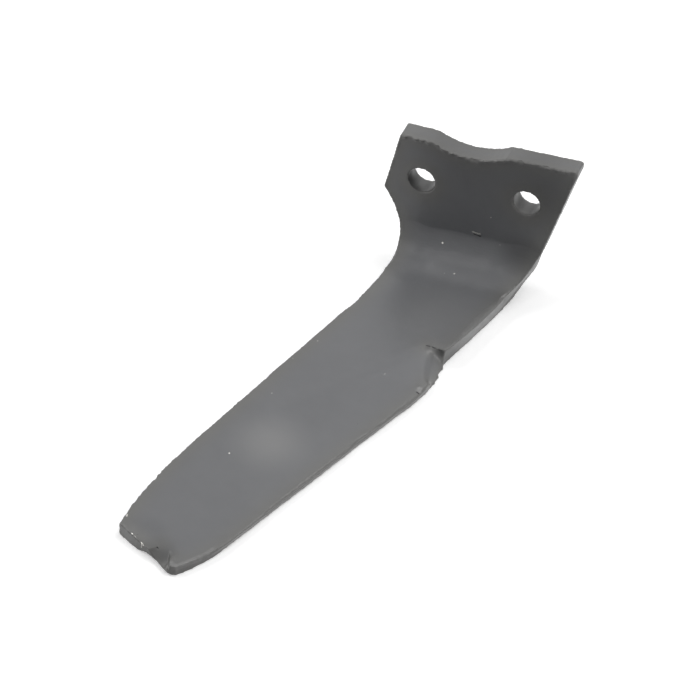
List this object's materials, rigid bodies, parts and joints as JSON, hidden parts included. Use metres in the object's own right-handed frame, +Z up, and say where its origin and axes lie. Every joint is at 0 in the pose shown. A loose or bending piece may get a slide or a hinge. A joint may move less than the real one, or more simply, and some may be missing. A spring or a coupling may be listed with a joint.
{
  "type": "harrow tine",
  "caption": "Bent steel harrow tine: bolted flange with a round notch in its end, leaning sides, a right-angle bend and a long one-sided blade with a skewed tip.",
  "frame": {"origin": "midway between the bolt holes, on the flange's seating face", "axes": "+X along the line of the bolt holes, +Y out of the seating face, with the blade reaching towards -Y, +Z up as the tine lies on its blade"},
  "size_m": [0.1534, 0.2827, 0.0896],
  "materials": {
    "painted_steel": "matte"
  },
  "bodies": {
    "root": {"harrow_tine": "painted_steel"}
  },
  "joints": []
}
